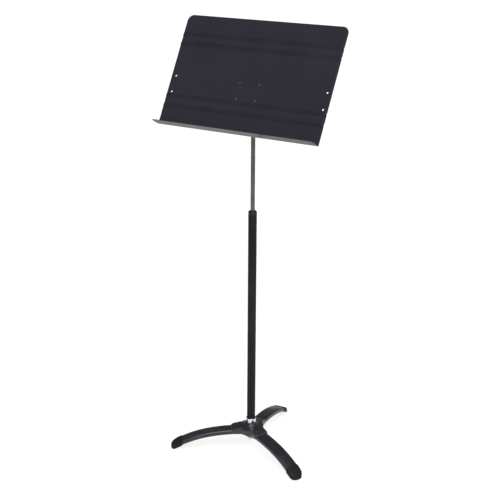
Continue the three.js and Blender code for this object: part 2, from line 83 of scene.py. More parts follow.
SCALE = Matrix.Scale(MILLIMETRE, 4)
COLUMN = Vector((*joint("lift")["pos_m"][:2], 0.0))
PIVOT = Vector(joint("tilt")["pos_m"])
LEAN = -math.radians(joint("tilt")["range_deg"][0])
COLUMN_PLACE = Matrix.Translation(COLUMN) @ SCALE
HEAD_PLACE = Matrix.Translation(PIVOT) @ SCALE
DESK_PLACE = Matrix.Translation(PIVOT) @ Matrix.Rotation(-LEAN, 4, "X") @ SCALE
ALONG_X = Matrix.Rotation(math.pi / 2, 4, "Y")
ALONG_Y = Matrix.Rotation(-math.pi / 2, 4, "X")


class Body(Enum):
    """The bodies that the pieces made here ride on."""

    BASE = "base"
    MAST = "mast"
    DESK = "desk"


class Side(Enum):
    """The two sides of the tilt joint, and the sign of X on each."""

    LEFT = -1
    RIGHT = 1

    @property
    def label(self) -> str:
        """The side's part of a piece's name."""
        return self.name.lower()

    @property
    def mirror(self) -> Matrix:
        """Takes a shape drawn on the right to this side."""
        return Matrix.Scale(self.value, 4, (1, 0, 0))


class Leg(Enum):
    """The three legs, and the direction of each in degrees from +X."""

    REAR = 95.5
    FRONT_LEFT = 215.5
    FRONT_RIGHT = 335.5

    @property
    def label(self) -> str:
        """The leg's part of a piece's name."""
        return self.name.lower()

    @property
    def place(self) -> Matrix:
        """The leg's own frame: +X outwards from the column, and +Z up."""
        return Matrix.Translation(COLUMN) @ Matrix.Rotation(math.radians(self.value), 4, "Z") @ SCALE


# ----------------------------------------------------------------------------------------------------------
# Materials
# ----------------------------------------------------------------------------------------------------------


def linear(hex_colour: str) -> tuple[float, float, float, float]:
    """Turns an sRGB hex colour to the linear values that shaders take.

    Args:
        hex_colour: six hex digits, such as "2e2d33".

    Returns:
        Linear red, green, blue and an alpha of 1.
    """
    channels = [int(hex_colour[i : i + 2], 16) / 255 for i in (0, 2, 4)]
    red, green, blue = (c / 12.92 if c <= 0.04045 else ((c + 0.055) / 1.055) ** 2.4 for c in channels)
    return red, green, blue, 1.0


def add_node(
    tree: bpy.types.NodeTree,
    kind: str,
    settings: dict[str, Any] | None = None,
    links: dict[str, Socket] | None = None,
) -> bpy.types.Node:
    """Adds a node to a tree.

    Args:
        tree: the material's or world's node tree.
        kind: the node's type, such as "ShaderNodeTexNoise".
        settings: values by name, for the node's inputs or else its own attributes.
        links: the sockets that feed its inputs, by input name.

    Returns:
        The new node.
    """
    node = tree.nodes.new(kind)
    for name, value in (settings or {}).items():
        if name in node.inputs:
            node.inputs[name].default_value = value
        else:
            setattr(node, name, value)
    for name, source in (links or {}).items():
        tree.links.new(source, node.inputs[name])
    return node


def per_millimetre(size: float) -> float:
    """The noise scale, in metre coordinates, whose features are about size millimetres across."""
    return 1.0 / (size * MILLIMETRE)


@dataclass(frozen=True)
class Finish:
    """What a piece is made of and how its surface was made.

    The colour drifts between two shades over `patch` millimetres and the gloss drifts with it. The surface has
    a relief of `relief` millimetres whose features are `grain` millimetres across, stretched by `stretch`.
    """

    name: str
    slot: str
    light_shade: str
    dark_shade: str
    roughness: tuple[float, float]
    metallic: float = 0.0
    ior: float = 1.5
    specular: float = 0.5
    patch: float = 60.0
    grain: float = 1.0
    relief: float = 0.01
    stretch: Point3 = (1.0, 1.0, 1.0)
    speck: float = 0.0

    def material(self) -> bpy.types.Material:
        """The finish as a material, made on first use.

        Returns:
            The material.
        """
        known = bpy.data.materials.get(self.name)
        return known if known else self._make()

    def _make(self) -> bpy.types.Material:
        """Builds the material's nodes.

        Returns:
            The new material.
        """
        material = bpy.data.materials.new(self.name)
        material.use_nodes = True
        tree = material.node_tree
        tree.nodes.clear()
        place = add_node(tree, "ShaderNodeTexCoord").outputs["Object"]
        drift = add_node(
            tree,
            "ShaderNodeTexNoise",
            {"Scale": per_millimetre(self.patch), "Detail": 4.0, "Roughness": 0.6},
            {"Vector": place},
        ).outputs["Fac"]
        grain = self._grain(tree, place)
        shader = self._surface(tree, drift, grain)
        add_node(tree, "ShaderNodeOutputMaterial", links={"Surface": shader.outputs["BSDF"]})
        return material

    def _grain(self, tree: bpy.types.NodeTree, place: Socket) -> Socket:
        """Draws the fine noise of the surface, stretched the way it was worked.

        Args:
            tree: the material's node tree.
            place: the object's own coordinates.

        Returns:
            The noise.
        """
        stretched = add_node(tree, "ShaderNodeMapping", {"Scale": self.stretch}, {"Vector": place})
        return add_node(
            tree,
            "ShaderNodeTexNoise",
            {"Scale": per_millimetre(self.grain), "Detail": 3.0, "Roughness": 0.55},
            {"Vector": stretched.outputs["Vector"]},
        ).outputs["Fac"]

    def _surface(self, tree: bpy.types.NodeTree, drift: Socket, grain: Socket) -> bpy.types.Node:
        """Joins the colour, the gloss and the relief in one shader.

        Args:
            tree: the material's node tree.
            drift: the slow noise.
            grain: the fine noise.

        Returns:
            The shader's node.
        """
        shade = self._shade(tree, drift, grain)
        gloss = add_node(
            tree,
            "ShaderNodeMapRange",
            {"From Min": 0.3, "From Max": 0.7, "To Min": self.roughness[0], "To Max": self.roughness[1]},
            {"Value": drift},
        ).outputs["Result"]
        bump = add_node(
            tree,
            "ShaderNodeBump",
            {"Strength": 1.0, "Distance": self.relief * MILLIMETRE},
            {"Height": grain},
        ).outputs["Normal"]
        return add_node(
            tree,
            "ShaderNodeBsdfPrincipled",
            {"Metallic": self.metallic, "IOR": self.ior, "Specular IOR Level": self.specular},
            {"Base Color": shade, "Roughness": gloss, "Normal": bump},
        )

    def _shade(self, tree: bpy.types.NodeTree, drift: Socket, grain: Socket) -> Socket:
        """Mixes the two shades over the patches, with a little of the grain's own light and dark.

        Args:
            tree: the material's node tree.
            drift: the slow noise.
            grain: the fine noise.

        Returns:
            The colour.
        """
        patches = add_node(
            tree,
            "ShaderNodeMapRange",
            {"From Min": 0.35, "From Max": 0.65, "To Min": 0.0, "To Max": 1.0},
            {"Value": drift},
        ).outputs["Result"]
        base = add_node(tree, "ShaderNodeMix", {"data_type": "RGBA"})
        base.inputs[6].default_value = linear(self.dark_shade)
        base.inputs[7].default_value = linear(self.light_shade)
        tree.links.new(patches, base.inputs[0])
        if not self.speck:
            return base.outputs[2]
        specks = add_node(
            tree,
            "ShaderNodeMapRange",
            {"From Min": 0.35, "From Max": 0.65, "To Min": 1.0 - self.speck, "To Max": 1.0 + self.speck},
            {"Value": grain},
        ).outputs["Result"]
        flecked = add_node(tree, "ShaderNodeVectorMath", {"operation": "SCALE"}, {"Scale": specks})
        tree.links.new(base.outputs[2], flecked.inputs[0])
        return flecked.outputs[0]


# Polyester powder coat, sprayed dry and baked: a satin black, faintly violet, with a fine orange-peel that
# breaks up its highlights. The real peel is about 0.6 mm; it is drawn at 1.4 mm so that it shows.
POWDER_COAT = Finish(
    name="satin_black_powder_coat",
    slot="black_powder_coat",
    light_shade="1a1823",
    dark_shade="15131b",
    roughness=(0.36, 0.44),
    specular=0.42,
    patch=120.0,
    grain=1.4,
    relief=0.012,
    speck=0.12,
)

# The same coat on the beams and hub of the base, painted a little greyer: painted sheen, standing in for the
# light these surfaces catch.
SHEEN_GREYED_POWDER_COAT = Finish(
    name="sheen_greyed_black_powder_coat",
    slot="black_powder_coat",
    light_shade="26262c",
    dark_shade="17171b",
    roughness=(0.3, 0.44),
    specular=0.5,
    patch=35.0,
    grain=1.2,
    relief=0.014,
    speck=0.15,
)

# Stoving enamel on drawn tube, flatted to a dull satin: an even black with hardly a streak of light down the
# column, and faint drawing lines along the tube. The lines are really finer; they are drawn 1.6 mm apart.
ENAMEL = Finish(
    name="satin_black_stoving_enamel",
    slot="black_gloss_paint",
    light_shade="242428",
    dark_shade="1b1b1e",
    roughness=(0.46, 0.54),
    specular=0.08,
    patch=80.0,
    grain=1.6,
    relief=0.008,
    stretch=(1.0, 1.0, 0.06),
    speck=0.1,
)

# Gloss enamel on the domed rivet heads: dipped, so it draws smooth and gives each head one bright glint.
RIVET_ENAMEL = Finish(
    name="gloss_black_dipped_enamel",
    slot="black_powder_coat",
    light_shade="17171a",
    dark_shade="101012",
    roughness=(0.1, 0.16),
    specular=0.7,
    patch=6.0,
    grain=0.9,
    relief=0.004,
)

# Black-nickel plate over a centreless-ground rod: a dark grey mirror crossed by fine grinding lines. The
# lines are really 0.02 mm apart; they are drawn at 0.8 mm.
BLACK_NICKEL = Finish(
    name="ground_black_nickel_plate",
    slot="nickel_plate",
    light_shade="66625e",
    dark_shade="504e50",
    roughness=(0.2, 0.3),
    metallic=1.0,
    patch=45.0,
    grain=0.8,
    relief=0.004,
    stretch=(0.05, 0.05, 1.0),
    speck=0.08,
)

# Bright chrome over polished steel: nearly a mirror, so it shows the pale room and the black tube in bands.
CHROME = Finish(
    name="polished_chrome_plate",
    slot="chrome_plate",
    light_shade="e3e3e6",
    dark_shade="d2d3d8",
    roughness=(0.05, 0.1),
    metallic=1.0,
    patch=12.0,
    grain=2.0,
    relief=0.002,
)

# Bright zinc electroplate on forged and rolled fasteners: pale, slightly blue, cloudy from tumbling.
ZINC = Finish(
    name="bright_zinc_electroplate",
    slot="zinc_plate",
    light_shade="c2c5c9",
    dark_shade="a3a6a4",
    roughness=(0.26, 0.42),
    metallic=1.0,
    patch=5.0,
    grain=0.9,
    relief=0.01,
)

# Oil-tempered spring steel: dark, a little blue, with a thin film of oil.
SPRING_STEEL = Finish(
    name="oil_tempered_spring_steel",
    slot="spring_steel",
    light_shade="6a6d75",
    dark_shade="4d4f57",
    roughness=(0.25, 0.38),
    metallic=1.0,
    patch=6.0,
    grain=0.8,
    relief=0.006,
)

# Moulded ABS cap: a little glossier than the enamel below it, with a faint flow texture.
ABS = Finish(
    name="moulded_black_abs",
    slot="black_abs",
    light_shade="161618",
    dark_shade="0f0f10",
    roughness=(0.3, 0.36),
    ior=1.54,
    specular=0.3,
    patch=10.0,
    grain=1.5,
    relief=0.006,
)

# Moulded natural rubber: a dull, slightly grey black with a pebbled skin that holds dust.
RUBBER = Finish(
    name="moulded_black_rubber",
    slot="black_rubber",
    light_shade="141517",
    dark_shade="0e0f10",
    roughness=(0.5, 0.68),
    ior=1.52,
    specular=0.2,
    patch=14.0,
    grain=1.1,
    relief=0.03,
    speck=0.2,
)

# Moulded natural nylon: waxy, ivory.
NYLON = Finish(
    name="moulded_natural_nylon",
    slot="natural_nylon",
    light_shade="e2decf",
    dark_shade="d2ccb8",
    roughness=(0.4, 0.5),
    ior=1.53,
    patch=8.0,
    grain=1.0,
    relief=0.008,
)

# Vulcanised fibre, punched from sheet: red-brown and matt, with the short hairs of its paper.
FIBRE = Finish(
    name="punched_vulcanised_fibre",
    slot="red_fibre",
    light_shade="6b3a2c",
    dark_shade="4c2a21",
    roughness=(0.7, 0.85),
    patch=4.0,
    grain=0.7,
    relief=0.02,
    stretch=(1.0, 0.3, 1.0),
    speck=0.25,
)

# Matt white seamless paper under the stand, with a little tooth.
PAPER = Finish(
    name="matt_white_seamless_paper",
    slot="",
    light_shade="fbfbfb",
    dark_shade="f6f6f6",
    roughness=(0.9, 0.95),
    specular=0.1,
    patch=900.0,
    grain=4.0,
    relief=0.01,
)


# ----------------------------------------------------------------------------------------------------------
# Meshes
# ----------------------------------------------------------------------------------------------------------


@dataclass
class Shape:
    """A closed surface as points in millimetres and faces that index them."""

    points: list[Vector] = field(default_factory=list)
    faces: list[tuple[int, ...]] = field(default_factory=list)

    def moved(self, matrix: Matrix) -> "Shape":
        """The same surface, moved by a matrix."""
        return Shape([matrix @ point for point in self.points], list(self.faces))

    def object(self, name: str, place: Matrix) -> bpy.types.Object:
        """Makes the surface an object whose mesh is in place.

        Args:
            name: the object's name.
            place: takes the shape's millimetres to the model's frame.

        Returns:
            The object, linked into the scene.
        """
        mesh = bpy.data.meshes.new(name)
        mesh.from_pydata([place @ point for point in self.points], [], self.faces)
        mesh.update()
        made = bpy.data.objects.new(name, mesh)
        bpy.context.scene.collection.objects.link(made)
        return made


def bridge(loops: Sequence[Sequence[Vector]], ring: bool = False) -> Shape:
    """Joins closed loops of equal length by strips of faces.

    Args:
        loops: the loops in order, each a list of points.
        ring: whether the last loop joins the first. If not, both ends are closed by a face.

    Returns:
        The closed surface.
    """
    count = len(loops[0])
    points = [point for loop in loops for point in loop]
    faces = []
    strips = len(loops) if ring else len(loops) - 1
    for i in range(strips):
        low, high = i * count, ((i + 1) % len(loops)) * count
        for j in range(count):
            k = (j + 1) % count
            faces.append((low + j, low + k, high + k, high + j))
    if not ring:
        faces.append(tuple(range(count - 1, -1, -1)))
        faces.append(tuple(range((len(loops) - 1) * count, len(loops) * count)))
    return Shape(points, faces)


def softened(profile: Sequence[Point2], radius: float, steps: int = 3) -> list[Point2]:
    """Rounds the inner corners of an open profile.

    Args:
        profile: points in order. The first and last stay as they are.
        radius: how far back from each corner the rounding starts, cut to what short runs allow.
        steps: points along each rounded corner, less one.

    Returns:
        The rounded profile.
    """
    rounded = [profile[0]]
    for before, corner, after in zip(profile, profile[1:], profile[2:]):
        start, middle, end = Vector(before), Vector(corner), Vector(after)
        back, forth = start - middle, end - middle
        reach = min(radius, 0.45 * back.length, 0.45 * forth.length)
        first = middle + back.normalized() * reach
        last = middle + forth.normalized() * reach
        for i in range(steps + 1):
            t = i / steps
            point = first * (1 - t) ** 2 + middle * (2 * t * (1 - t)) + last * t**2
            rounded.append((point.x, point.y))
    rounded.append(profile[-1])
    return rounded


def turned(profile: Sequence[Point2], edge: float = 0.3, segments: int = 64) -> Shape:
    """Turns a profile about Z.

    Args:
        profile: [radius, height] points. It starts and ends on the axis, or else closes on itself.
        edge: how much its corners are broken, in millimetres.
        segments: flats around the turn.

    Returns:
        The closed surface.
    """
    on_axis = profile[0][0] == 0
    if on_axis:
        line = softened(profile, edge)
        tiny = 1e-3
        line = [(max(radius, tiny), height) for radius, height in line]
    else:
        middle = ((profile[0][0] + profile[1][0]) / 2, (profile[0][1] + profile[1][1]) / 2)
        line = softened([middle, *profile[1:], profile[0], middle], edge)[:-1]
    loops = [
        [
            Vector((radius * math.cos(angle), radius * math.sin(angle), height))
            for angle in (2 * math.pi * i / segments for i in range(segments))
        ]
        for radius, height in line
    ]
    return bridge(loops, ring=not on_axis)


def disc(radius: float, low: float, high: float, edge: float = 0.3) -> Shape:
    """A solid round bar along Z, with broken edges."""
    return turned([(0, low), (radius, low), (radius, high), (0, high)], edge)


def ring(inner: float, outer: float, low: float, high: float, edge: float = 0.2) -> Shape:
    """A round bar with a bore, along Z."""
    return turned([(inner, low), (outer, low), (outer, high), (inner, high)], edge)


def extruded(outline: Sequence[Point2], low: float, high: float) -> Shape:
    """Gives an outline in the XY plane thickness along Z."""
    return bridge([[Vector((x, y, z)) for x, y in outline] for z in (low, high)])


def across_x(shape: Shape) -> Shape:
    """Turns a shape whose outline was drawn in XY so that it lies in YZ, with its thickness along X."""
    return Shape([Vector((p.z, p.x, p.y)) for p in shape.points], list(shape.faces))


def hexagon(across_flats: float) -> list[Point2]:
    """The corners of a hexagon, anticlockwise."""
    return arc((0, 0), across_flats / math.sqrt(3), 0, 300, 5)


def arc(centre: Point2, radius: float, start: float, end: float, steps: int) -> list[Point2]:
    """Points along an arc.

    Args:
        centre: its centre.
        radius: its radius.
        start: the angle it starts at, in degrees.
        end: the angle it ends at, in degrees.
        steps: the number of points, less one.

    Returns:
        The points, with both ends.
    """
    angles = (math.radians(start + (end - start) * i / steps) for i in range(steps + 1))
    return [(centre[0] + radius * math.cos(a), centre[1] + radius * math.sin(a)) for a in angles]


def settle(made: bpy.types.Object) -> bpy.types.Object:
    """Applies an object's modifiers to its mesh.

    Args:
        made: the object.

    Returns:
        The same object, with no modifiers.
    """
    graph = bpy.context.evaluated_depsgraph_get()
    graph.update()
    mesh = bpy.data.meshes.new_from_object(made.evaluated_get(graph))
    made.modifiers.clear()
    old = made.data
    made.data = mesh
    bpy.data.meshes.remove(old)
    return made


class Cut(Enum):
    """How one solid works on another."""

    REMOVE = "DIFFERENCE"
    JOIN = "UNION"
    KEEP_COMMON = "INTERSECT"


def work(blank: bpy.types.Object, *tools: tuple[Cut, Shape], place: Matrix) -> bpy.types.Object:
    """Cuts, joins or trims a solid by others.

    Args:
        blank: the solid.
        tools: the others in turn, and what each does.
        place: takes the tools' millimetres to the model's frame.

    Returns:
        The blank, worked.
    """
    for cut, shape in tools:
        tool = shape.object("tool", place)
        modifier = blank.modifiers.new("work", "BOOLEAN")
        modifier.operation = cut.value
        modifier.solver = "EXACT"
        modifier.object = tool
        settle(blank)
        bpy.data.objects.remove(tool)
    return blank


def break_edges(made: bpy.types.Object, width: float, over: float = 35.0, steps: int = 2) -> bpy.types.Object:
    """Rounds the sharp edges of a solid.

    Args:
        made: the solid.
        width: how wide the rounding is, in millimetres.
        over: the angle in degrees above which an edge is sharp.
        steps: faces across the rounding.

    Returns:
        The same object.
    """
    modifier = made.modifiers.new("edges", "BEVEL")
    modifier.width = width * MILLIMETRE
    modifier.segments = steps
    modifier.limit_method = "ANGLE"
    modifier.angle_limit = math.radians(over)
    modifier.use_clamp_overlap = True
    return settle(made)


def fit(made: bpy.types.Object, finish: Finish, body: Body, *nodes: str, crease: float = 38.0) -> None:
    """Finishes a piece and puts it on its body in place of the plain solids it stands for.

    Args:
        made: the piece.
        finish: what it is made of.
        body: the body it moves with.
        nodes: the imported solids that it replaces.
        crease: the angle in degrees above which faces meet at a hard line.
    """
    made.data.materials.clear()
    made.data.materials.append(finish.material())
    made.data.shade_smooth()
    made.data.set_sharp_from_angle(angle=math.radians(crease))
    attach(made, body.value)
    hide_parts(*nodes)
    LOG.info("%-34s %6d faces, %s", made.name, len(made.data.polygons), finish.name)


def dress(node: str, finish: Finish) -> None:
    """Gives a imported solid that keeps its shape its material.

    Args:
        node: the solid's name.
        finish: what it is made of.
    """
    solid = frame["nodes"][node]
    for held in solid.material_slots:
        held.material = finish.material()
    LOG.info("%-34s as packed, %s", node, finish.name)


# ----------------------------------------------------------------------------------------------------------
# Desk
# ----------------------------------------------------------------------------------------------------------


@dataclass
class Desk:
    """The desk: one sheet with beads pressed across it and a shelf folded from its lower edge.

    It is drawn upright about the tilt joint, with its front towards -Y.
    """

    width: float = 508.0
    height: float = 329.5
    sheet: float = 1.2
    shelf_depth: float = 41.0
    fold_radius: float = 1.5
    corner: float = 19.0
    shelf_corner: float = 12.0
    back: float = -37.0
    fold: float = -130.5
    bead_heights: tuple[float, ...] = (58.0, 87.0, 242.0, 269.5)
    bead_half_width: float = 6.5
    bead_relief: float = 1.5
    hole_rows: tuple[float, ...] = (98.5, 145.5)
    side_hole_x: float = 239.5
    side_hole_radius: float = 2.5
    rivet_x: float = 30.5
    rivet_head: float = 4.6
    rivet_dome: float = 1.75
    columns: int = 64

    @property
    def front(self) -> float:
        """Where the panel's front face is."""
        return self.back - self.sheet

    def build(self) -> None:
        """Builds the sheet and its rivets."""
        self.build_sheet()
        for side in Side:
            for row, level in zip(self.hole_rows, ("lower", "upper")):
                self.build_rivet(side, row, level)

    def relief(self, height: float) -> float:
        """How far the beads stand forward of the panel.

        Args:
            height: above the fold.

        Returns:
            The distance, in millimetres.
        """
        for middle in self.bead_heights:
            off = abs(height - middle)
            if off < self.bead_half_width:
                return self.bead_relief / 2 * (1 + math.cos(math.pi * off / self.bead_half_width))
        return 0.0

    def stations(self) -> list[tuple[float, float, float]]:
        """Rows across the sheet's upper face: the row's Y and Z, and half its length along X.

        Returns:
            The rows, from the shelf's front edge over the fold to the top.
        """
        half = self.width / 2
        rows: list[tuple[float, float, float]] = []
        shelf_front = self.back - self.shelf_depth
        level = self.fold + self.sheet
        bite = self.shelf_corner
        for x, y in arc((half - bite, shelf_front + bite), bite, -90, 0, 10):
            rows.append((y, level, x))
        bend = (self.front - self.fold_radius, level + self.fold_radius)
        for y in (bend[0] - 18.0, bend[0] - 9.0):
            rows.append((y, level, half))
        for y, z in arc(bend, self.fold_radius, -90, 0, 8):
            rows.append((y, z, half))
        for height in self.panel_heights():
            rows.append((self.front - self.relief(height), self.fold + height, half))
        top = self.fold + self.height - self.corner
        for x, z in arc((half - self.corner, top), self.corner, 0, 90, 12):
            rows.append((self.front, z, x))
        return rows

    def panel_heights(self) -> list[float]:
        """Heights above the fold at which the panel needs a row: close over the beads and wide between.

        Returns:
            The heights, from low to high.
        """
        heights = {20.0, 34.0, 72.0, 100.0, 130.0, 160.0, 190.0, 220.0, 256.0, 290.0}
        per_bead = 14
        for middle in self.bead_heights:
            for i in range(per_bead + 1):
                heights.add(round(middle + self.bead_half_width * (2 * i / per_bead - 1), 3))
        return sorted(heights)

    def build_sheet(self) -> None:
        """Builds the folded sheet, thickens it to the back, drills it and rounds its cut edges."""
        points = []
        faces = []
        rows = self.stations()
        for y, z, half in rows:
            for i in range(self.columns + 1):
                points.append(Vector((half * (2 * i / self.columns - 1), y, z)))
        stride = self.columns + 1
        for j in range(len(rows) - 1):
            for i in range(self.columns):
                corner = j * stride + i
                faces.append((corner, corner + 1, corner + stride + 1, corner + stride))
        made = Shape(points, faces).object("desk_panel_and_shelf", DESK_PLACE)
        thicken = made.modifiers.new("sheet", "SOLIDIFY")
        thicken.thickness = self.sheet * MILLIMETRE
        thicken.offset = -1.0
        thicken.use_even_offset = True
        settle(made)
        drills = []
        for side in Side:
            for row in self.hole_rows:
                middle = Matrix.Translation((side.value * self.side_hole_x, self.back, self.fold + row))
                drills.append((Cut.REMOVE, disc(self.side_hole_radius, -6, 6, SHARP).moved(middle @ ALONG_Y)))
        work(made, *drills, place=DESK_PLACE)
        break_edges(made, 0.32, over=50)
        fit(made, POWDER_COAT, Body.DESK, "desk_sheet", crease=32)

    def build_rivet(self, side: Side, row: float, level: str) -> None:
        """Builds a blind rivet: a domed head in front and the swelled end of its shank behind.

        Args:
            side: which side of the middle it is on.
            row: its height above the fold.
            level: lower or upper, for its name.
        """
        behind = self.sheet + 0.3 + 2.5
        head, rise = self.rivet_head, self.rivet_dome
        dome = [(head * math.sin(a), -rise * math.cos(a)) for a in (0.0, 0.25, 0.5, 0.75, 1.0, 1.25, 1.45)]
        shape = turned(
            [
                *dome,
                (head, -0.1),
                (2.05, -0.05),
                (2.0, behind + 0.2),
                (2.9, behind + 0.5),
                (2.9, behind + 3.0),
                (1.5, behind + 4.1),
                (0.0, behind + 4.2),
            ],
            edge=0.15,
            segments=40,
        )
        spot = Matrix.Translation((side.value * self.rivet_x, self.front, self.fold + row))
        name = side.label
        made = shape.moved(spot @ ALONG_Y).object(f"set_rivet_{level}_{name}", DESK_PLACE)
        fit(made, RIVET_ENAMEL, Body.DESK, f"rivet_{level}_{name}")


# ----------------------------------------------------------------------------------------------------------
# Tilt joint
# ----------------------------------------------------------------------------------------------------------


@dataclass
class TiltJoint:
    """The joint behind the desk: two angle brackets pinched on the head's barrel by one bolt.

    It is drawn about the bolt's axis, which lies along X.
    """

    desk: Desk
    barrel_radius: float = 13.0
    barrel_half_length: float = 14.0
    neck_radius: float = 10.5
    neck_drop: float = 34.0
    bolt_radius: float = 4.0
    wrench: float = 13.0
    bracket_plate: float = 2.5
    flange: float = 26.0
    pin_drop: float = 24.0
    pin_radius: float = 1.9

    @property
    def bolt_bore(self) -> float:
        """The radius of the holes that the bolt runs through."""
        return self.bolt_radius + 0.3

    def build(self) -> None:
        """Builds the head, the brackets and everything on the bolt."""
        self.build_head()
        for side in Side:
            self.build_bracket(side)
            self.build_washers(side)
        self.build_bolt()
        self.build_nut()
        self.build_disc_spring()

    def build_head(self) -> None:
        """Builds the head: a cross barrel on a socket that the rod's end is pinned in."""
        half = self.barrel_half_length
        barrel = disc(self.barrel_radius, -half, half, 0.8).moved(ALONG_X)
        bottom, wide = -self.neck_drop, self.neck_radius
        neck = turned([(0, bottom), (wide, bottom), (wide, -2), (0, -2)], edge=1.2)
        made = barrel.object("head_casting", HEAD_PLACE)
        work(made, (Cut.JOIN, neck), place=HEAD_PLACE)
        break_edges(made, 0.9, over=40, steps=3)
        socket = disc(ROD_RADIUS + 0.15, bottom - 1, -ROD_TOP_DROP + 0.3, SHARP)
        bore = disc(self.bolt_bore, -20, 20, SHARP).moved(ALONG_X)
        spot = Matrix.Translation((0, 0, -self.pin_drop)) @ ALONG_X
        pin = disc(self.pin_radius + 0.1, -20, 20, SHARP).moved(spot)
        work(made, (Cut.REMOVE, socket), (Cut.REMOVE, bore), (Cut.REMOVE, pin), place=HEAD_PLACE)
        fit(made, ENAMEL, Body.MAST, "tilt_head", crease=30)
        reach = wide - 0.5
        drive = disc(self.pin_radius, -reach, reach, 0.4).moved(spot)
        fit(drive.object("head_cross_pin", HEAD_PLACE), ZINC, Body.MAST, "head_pin")

    def build_bracket(self, side: Side) -> None:
        """Builds an angle bracket: a flange against the desk and an ear that runs back to the bolt.

        Args:
            side: which side of the head it is on.
        """
        desk = self.desk
        ear = self.barrel_half_length + 1.9
        front = desk.back + 0.3
        bend = 3.0
        low = desk.fold + desk.hole_rows[0] - 12
        high = desk.fold + desk.hole_rows[1] + 12
        plate = self.bracket_plate
        angle = [
            *arc((ear + bend, front + bend), bend, 180, 270, 8),
            (ear + self.flange, front),
            (ear + self.flange, front + plate),
            *arc((ear + plate + 1, front + plate + 1), 1.0, 270, 180, 4),
            (ear + plate, self.barrel_radius),
            (ear, self.barrel_radius),
        ]
        root = front + 8
        silhouette = [
            (front - 1, low),
            (root, low),
            *arc((0, 0), self.barrel_radius, -118, 112, 32),
            (root, high),
            (front - 1, high),
        ]
        flip = side.mirror
        made = extruded(angle, low, high).moved(flip).object(f"bracket_{side.label}", DESK_PLACE)
        turn_out(made)
        side_view = across_x(extruded(silhouette, ear - 1, ear + self.flange + 1))
        trims = [(Cut.KEEP_COMMON, side_view.moved(flip))]
        trims.append((Cut.REMOVE, disc(self.bolt_bore, 0, 40, SHARP).moved(flip @ ALONG_X)))
        for row in desk.hole_rows:
            spot = Matrix.Translation((desk.rivet_x, front, desk.fold + row)) @ ALONG_Y
            trims.append((Cut.REMOVE, disc(2.15, -5, 5, SHARP).moved(flip @ spot)))
        work(made, *trims, place=DESK_PLACE)
        break_edges(made, 0.4, over=40)
        fit(made, POWDER_COAT, Body.DESK, f"tilt_bracket_{side.label}", crease=30)

    def build_washers(self, side: Side) -> None:
        """Builds the fibre washer inside an ear and the flat washer outside it.

        Args:
            side: which side of the head they are on.
        """
        name = side.label
        flip = side.mirror
        half = self.barrel_half_length
        bore = self.bolt_bore
        pairs = (
            ("friction_washer", "fibre_washer", FIBRE, 12.0, half + 0.2, half + 1.7),
            ("flat_washer", "steel_washer", ZINC, 8.5, half + 4.6, half + 6.2),
        )
        for node, piece, finish, radius, low, high in pairs:
            made = ring(bore, radius, low, high).moved(flip @ ALONG_X).object(f"{piece}_{name}", DESK_PLACE)
            fit(made, finish, Body.DESK, f"{node}_{name}")

    def build_bolt(self) -> None:
        """Builds the hexagon bolt, with the last turns of its thread past the nut."""
        half = self.barrel_half_length
        head_low, head_high, end = -(half + 11.7), -(half + 6.4), half + 18
        shank = [(0.0, head_high - 1), (self.bolt_radius, head_high - 1), (self.bolt_radius, half + 8)]
        pitch = 1.25
        crest = half + 8.4
        while crest + pitch < end:
            shank += [(self.bolt_radius - 0.5, crest), (self.bolt_radius, crest + pitch / 2)]
            crest += pitch
        shank += [(self.bolt_radius - 0.8, end), (0.0, end)]
        head = chamfered_hexagon(
            self.wrench, head_low, head_high, "tilt_bolt_and_thread", ALONG_X, DESK_PLACE
        )
        work(head, (Cut.JOIN, turned(shank, edge=0.1, segments=48).moved(ALONG_X)), place=DESK_PLACE)
        fit(head, ZINC, Body.DESK, "tilt_bolt", crease=28)

    def build_nut(self) -> None:
        """Builds the lock nut: a hexagon with a round collar."""
        half = self.barrel_half_length
        made = chamfered_hexagon(
            self.wrench, half + 8.2, half + 14, "tilt_lock_nut_and_collar", ALONG_X, DESK_PLACE
        )
        collar = disc(5.8, half + 13, half + 16, 0.5).moved(ALONG_X)
        bore = disc(self.bolt_radius + 0.1, half, half + 30, SHARP).moved(ALONG_X)
        work(made, (Cut.JOIN, collar), (Cut.REMOVE, bore), place=DESK_PLACE)
        fit(made, ZINC, Body.DESK, "tilt_lock_nut", crease=28)

    def build_disc_spring(self) -> None:
        """Builds the coned spring washer under the nut."""
        low, high = self.barrel_half_length + 6.4, self.barrel_half_length + 8.0
        bore = self.bolt_bore
        cone = turned([(bore, low + 0.7), (8.0, low), (8.0, low + 0.9), (bore, high)], edge=0.15)
        made = cone.moved(ALONG_X).object("coned_spring_washer", DESK_PLACE)
        fit(made, SPRING_STEEL, Body.DESK, "disc_spring")


def turn_out(made: bpy.types.Object) -> None:
    """Turns a solid's faces outwards.

    Args:
        made: the solid.
    """
    surface = bmesh.new()
    surface.from_mesh(made.data)
    bmesh.ops.recalc_face_normals(surface, faces=surface.faces)
    surface.to_mesh(made.data)
    surface.free()


def chamfered_hexagon(
    across_flats: float, low: float, high: float, name: str, turn: Matrix, place: Matrix
) -> bpy.types.Object:
    """Builds a hexagon bar whose corners are turned off at both ends, as on a bolt's head or a nut.

    Args:
        across_flats: its size across flats.
        low: one end, along its axis.
        high: the other end.
        name: the object's name.
        turn: lays its axis, which is Z, where it has to be.
        place: takes its millimetres to the model's frame.

    Returns:
        The object.
    """
    made = extruded(hexagon(across_flats), low, high).moved(turn).object(name, place)
    flat, corner = across_flats / 2 - 0.1, across_flats / math.sqrt(3) + 0.1
    drop = (corner - flat) * math.tan(math.radians(30))
    envelope = [(0, low), (flat, low), (corner, low + drop), (corner, high - drop), (flat, high), (0, high)]
    work(made, (Cut.KEEP_COMMON, turned(envelope, edge=0.02, segments=72).moved(turn)), place=place)
    return break_edges(made, 0.15, over=28)


